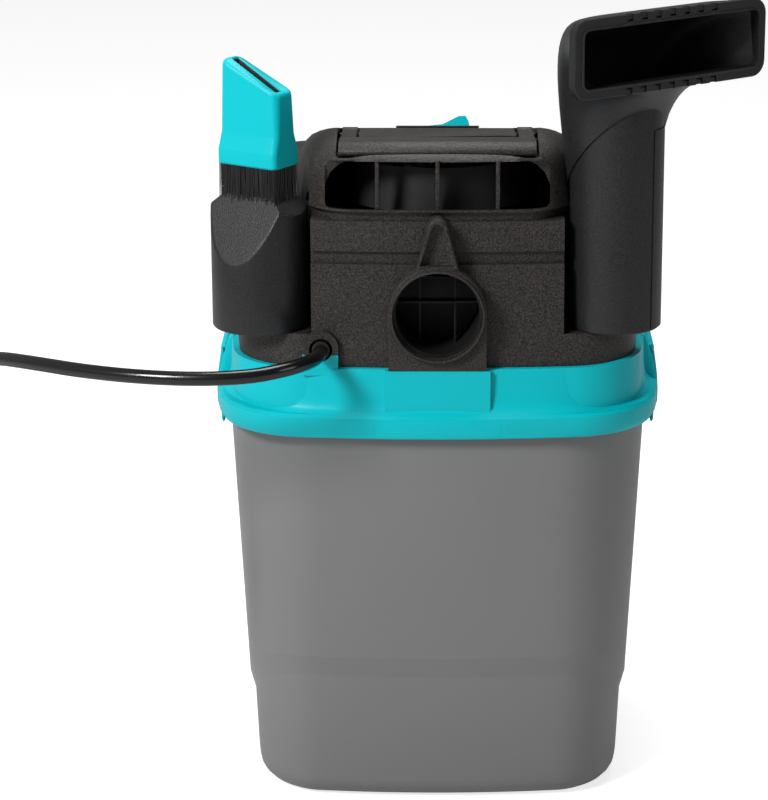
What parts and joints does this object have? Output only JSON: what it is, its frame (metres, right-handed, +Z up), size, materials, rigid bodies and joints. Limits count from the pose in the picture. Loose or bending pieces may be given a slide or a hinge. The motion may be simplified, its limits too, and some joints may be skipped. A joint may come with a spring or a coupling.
{
  "type": "shop vacuum",
  "caption": "Small wet and dry shop vacuum: square grey tank, teal collar, black motor head with rear blower port, hand tools on rear posts and a coiled mains cord.",
  "frame": {"origin": "middle of the tank's flat base", "axes": "+Z up, +Y out of the front hose inlet, -Y out of the rear blower port"},
  "size_m": [0.6639, 0.3392, 0.461],
  "materials": {
    "grey_tank": "satin",
    "teal_plastic": "satin",
    "black_plastic": "fine grain",
    "tool_plastic": "semi matt",
    "dark_plastic": "matt",
    "white_plastic": "matt",
    "black_rubber": "matt",
    "cord_pvc": "gloss",
    "motor_iron": "machined",
    "shaft_steel": "ground",
    "copper": "enamelled wire",
    "blade_brass": "polished",
    "screw_steel": "zinc plated",
    "bristle_nylon": "bristle",
    "filter_paper": "pleated paper"
  },
  "bodies": {
    "tank": {"tank": "grey_tank", "hose_inlet": "black_plastic", "inlet_gasket": "black_rubber", "inlet_deflector": "dark_plastic"},
    "latch_left": {"latch_left": "teal_plastic"},
    "latch_right": {"latch_right": "teal_plastic"},
    "handle": {"carry_handle": "black_plastic"},
    "rocker": {"switch_rocker": "teal_plastic"},
    "rotor": {"armature_shaft": "shaft_steel", "armature_core": "motor_iron", "commutator": "copper", "impeller": "motor_iron", "impeller_nut": "screw_steel", "cooling_fan": "white_plastic"},
    "float": {"float_ball": "white_plastic"},
    "filter": {"filter_media": "filter_paper", "filter_cap_top": "black_rubber", "filter_cap_bottom": "black_rubber"},
    "crevice": {"crevice_tool": "tool_plastic"},
    "brush": {"brush_head": "teal_plastic", "brush_bristles": "bristle_nylon"},
    "nozzle": {"utility_nozzle": "tool_plastic"},
    "head": {"tank_gasket": "black_rubber", "collar": "teal_plastic", "latch_pin_left": "shaft_steel", "latch_pin_right": "shaft_steel", "motor_housing": "black_plastic", "housing_screws": "screw_steel", "exhaust_duct": "dark_plastic", "fan_housing": "dark_plastic", "stator_core": "motor_iron", "stator_windings": "copper", "motor_frame": "motor_iron", "bearing_lower": "shaft_steel", "motor_cover": "motor_iron", "bearing_upper": "shaft_steel", "motor_seal_ring": "black_rubber", "carbon_brush_left": "dark_plastic", "carbon_brush_right": "dark_plastic", "brush_holder_left": "blade_brass", "brush_holder_right": "blade_brass", "top_cap": "black_plastic", "air_baffle": "dark_plastic", "handle_pin_left": "shaft_steel", "handle_pin_right": "shaft_steel", "switch_bezel": "dark_plastic", "switch_body": "dark_plastic", "float_cage": "dark_plastic", "tool_post_left": "black_plastic", "tool_post_right": "black_plastic", "cord_gland": "black_plastic", "strain_relief": "black_rubber", "cord_lead": "cord_pvc", "cord_coil": "cord_pvc", "cord_tail": "cord_pvc", "cord_tie": "black_rubber", "plug_boot": "black_rubber", "plug_body": "black_rubber", "plug_blades": "blade_brass"}
  },
  "joints": [
    {"name": "head_lift", "type": "slide", "parent": "tank", "child": "head", "axis": [0, 0, 1], "range_m": [0, 0.2]},
    {"name": "latch_left_swing", "type": "hinge", "parent": "head", "child": "latch_left", "pos_m": [-0.1225, 0, 0.25], "axis": [0, 1, 0], "range_deg": [0, 40]},
    {"name": "latch_right_swing", "type": "hinge", "parent": "head", "child": "latch_right", "pos_m": [0.1225, 0, 0.25], "axis": [0, -1, 0], "range_deg": [0, 40]},
    {"name": "handle_swing", "type": "hinge", "parent": "head", "child": "handle", "pos_m": [0, -0.02, 0.3714], "axis": [-1, 0, 0], "range_deg": [0, 90]},
    {"name": "rocker_tip", "type": "hinge", "parent": "head", "child": "rocker", "pos_m": [0, 0.05938, 0.35626], "axis": [0, 0.9785, -0.2062], "range_deg": [0, 14]},
    {"name": "rotor_spin", "type": "hinge", "parent": "head", "child": "rotor", "pos_m": [0, 0, 0.3], "axis": [0, 0, 1], "continuous": true},
    {"name": "float_rise", "type": "slide", "parent": "head", "child": "float", "axis": [0, 0, 1], "range_m": [0, 0.0445]},
    {"name": "filter_pull", "type": "slide", "parent": "head", "child": "filter", "axis": [0, 0, -1], "range_m": [0, 0.085]},
    {"name": "crevice_lift", "type": "slide", "parent": "head", "child": "crevice", "axis": [0, 0, 1], "range_m": [0, 0.05]},
    {"name": "brush_lift", "type": "slide", "parent": "crevice", "child": "brush", "axis": [0, 0, 1], "range_m": [0, 0.045]},
    {"name": "nozzle_lift", "type": "slide", "parent": "head", "child": "nozzle", "axis": [0, 0, 1], "range_m": [0, 0.05]}
  ]
}
